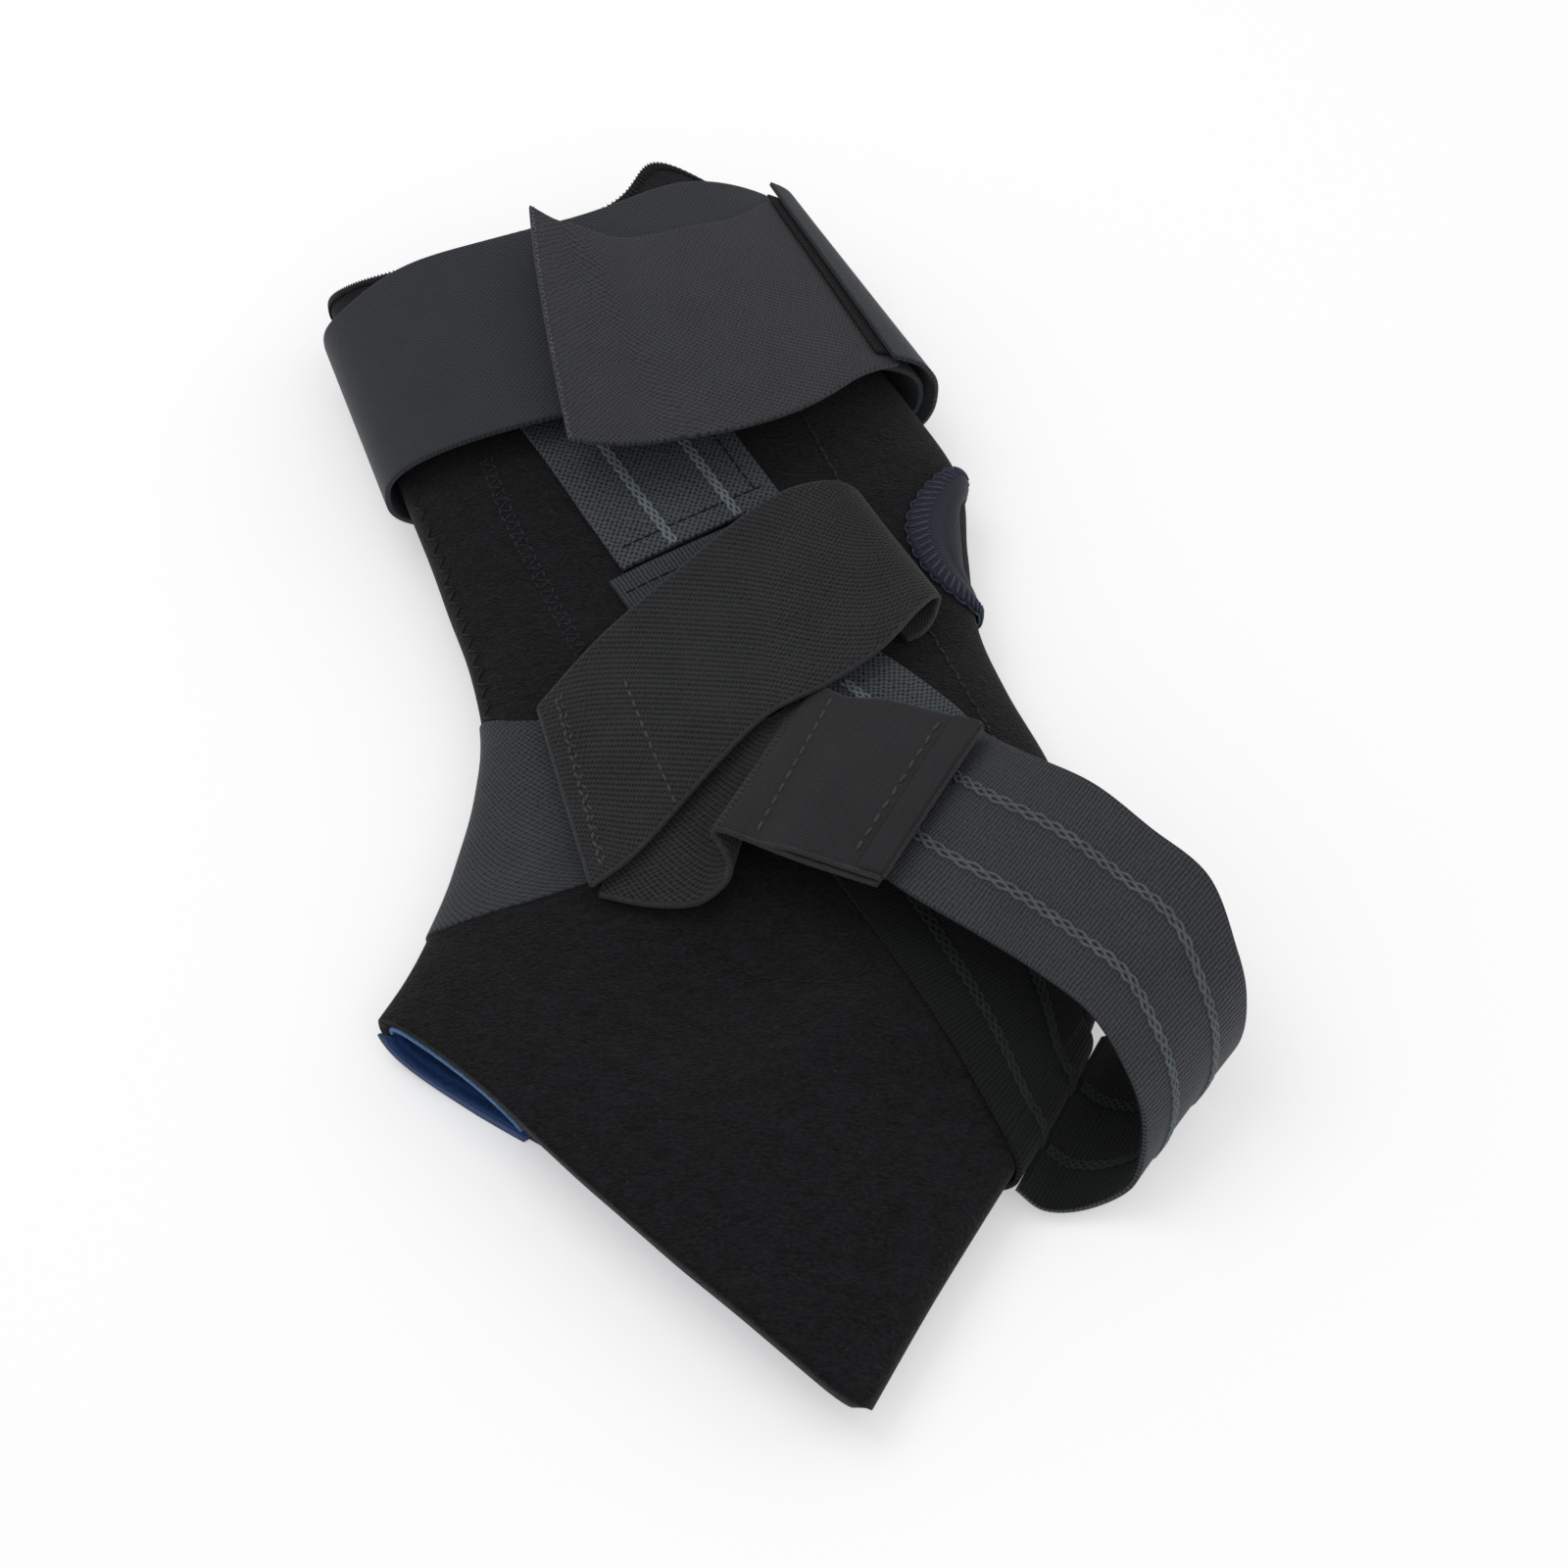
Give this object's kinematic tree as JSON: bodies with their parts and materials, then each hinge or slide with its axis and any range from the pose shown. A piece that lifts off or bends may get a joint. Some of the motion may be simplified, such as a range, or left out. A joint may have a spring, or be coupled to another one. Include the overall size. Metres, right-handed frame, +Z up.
{
  "type": "ankle support",
  "caption": "Soft ankle support lying on its side: boot-shaped padded sleeve open at leg and foot, leg band with lifted flap, webbing stirrup loop and crossed elastic strap.",
  "frame": {"origin": "middle of the footprint of the resting object, on the surface it lies on", "axes": "+Z up from the surface, +Y from the foot opening towards the leg opening, +X towards the heel side"},
  "size_m": [0.1858, 0.3122, 0.0359],
  "materials": {
    "sleeve": "soft napped knit over foam",
    "lining": "smooth knit",
    "vent_binding": "smooth bound tape",
    "instep_panel": "fine knit",
    "top_band": "flat elastic",
    "band_flap": "pebbled woven face",
    "hook_tape": "hook tape",
    "band_tab": "flat elastic",
    "leg_webbing": "mesh webbing with two braided stripes",
    "end_ribbon": "grosgrain",
    "stirrup_webbing": "ribbed webbing",
    "loop_webbing": "ribbed webbing with two braided stripes",
    "elastic_strap": "ribbed elastic",
    "elastic_tail": "ribbed elastic",
    "elastic_patch": "smooth faced elastic"
  },
  "bodies": {
    "root": {"sleeve": "sleeve", "lining": "lining", "vent_binding": "vent_binding", "instep_panel": "instep_panel", "top_band": "top_band", "band_flap": "band_flap", "hook_tape": "hook_tape", "band_tab": "band_tab", "leg_webbing": "leg_webbing", "end_ribbon": "end_ribbon", "stirrup_webbing": "stirrup_webbing", "loop_webbing": "loop_webbing", "elastic_strap": "elastic_strap", "elastic_tail": "elastic_tail", "elastic_patch": "elastic_patch"}
  },
  "joints": []
}
